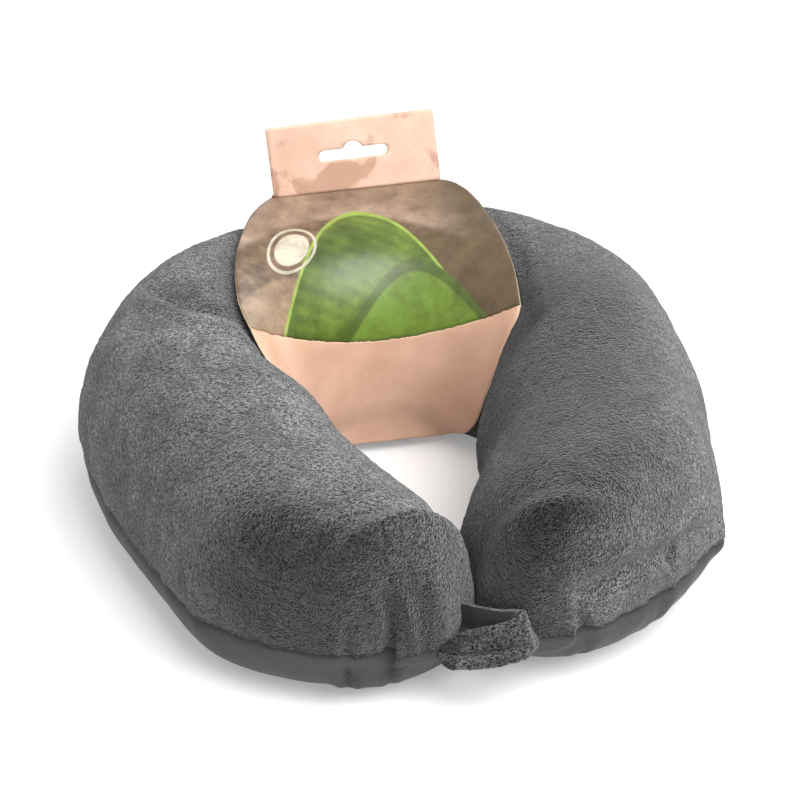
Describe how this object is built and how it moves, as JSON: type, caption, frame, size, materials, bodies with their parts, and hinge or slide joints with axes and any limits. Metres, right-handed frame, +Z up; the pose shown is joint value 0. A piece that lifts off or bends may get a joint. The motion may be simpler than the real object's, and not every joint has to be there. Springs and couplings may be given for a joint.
{
  "type": "u shaped neck pillow",
  "caption": "Stuffed U shaped neck pillow with plush top, smooth underside and tip loop, in a cardboard sleeve with a hanging header.",
  "frame": {"origin": "on the surface that the pillow lies on, under the middle of its overall box", "axes": "+Z up, +Y towards the back of the U, -Y towards the open ends of its arms, +X towards the right arm seen from the open side"},
  "size_m": [0.2724, 0.29, 0.1356],
  "materials": {
    "plush": "short pile velour",
    "smooth_fabric": "matt knit",
    "liner_fabric": "plain woven",
    "beads": "loose polystyrene microbeads",
    "kraft_card": "uncoated kraft",
    "printed_card": "printed kraft"
  },
  "bodies": {
    "back": {"bead_fill_back": "beads", "bottom_cover_back": "smooth_fabric", "liner_back": "liner_fabric", "top_cover_back": "plush"},
    "left_arm": {"bead_fill_left": "beads", "bottom_cover_left": "smooth_fabric", "liner_left": "liner_fabric", "top_cover_left": "plush"},
    "right_arm": {"bead_fill_right": "beads", "bottom_cover_right": "smooth_fabric", "liner_right": "liner_fabric", "top_cover_right": "plush"},
    "sleeve": {"sleeve_face_panel": "printed_card", "sleeve_inner_panel": "kraft_card", "sleeve_rear_panel": "kraft_card", "sleeve_under_panel": "kraft_card"},
    "header": {"header_front_ply": "printed_card", "header_rear_ply": "printed_card"},
    "loop": {"closure_loop": "plush"}
  },
  "joints": [
    {"name": "left_arm_spread", "type": "hinge", "parent": "back", "child": "left_arm", "pos_m": [-0.10437, -0.02332, 0.033], "axis": [0, 0, -1], "range_deg": [0, 30]},
    {"name": "right_arm_spread", "type": "hinge", "parent": "back", "child": "right_arm", "pos_m": [0.10437, -0.02332, 0.033], "axis": [0, 0, 1], "range_deg": [0, 30]},
    {"name": "sleeve_slide_round", "type": "hinge", "parent": "back", "child": "sleeve", "pos_m": [0, 0.00208, 0], "axis": [0, 0, 1], "range_deg": [-4, 13]},
    {"name": "header_fold", "type": "hinge", "parent": "sleeve", "child": "header", "pos_m": [0.00879, 0.11373, 0.1038], "axis": [0.9969, -0.0785, 0], "range_deg": [-30, 40]},
    {"name": "loop_swing", "type": "hinge", "parent": "left_arm", "child": "loop", "pos_m": [-0.014, -0.13322, 0.033], "axis": [0, 0, -1], "range_deg": [0, 80]}
  ]
}
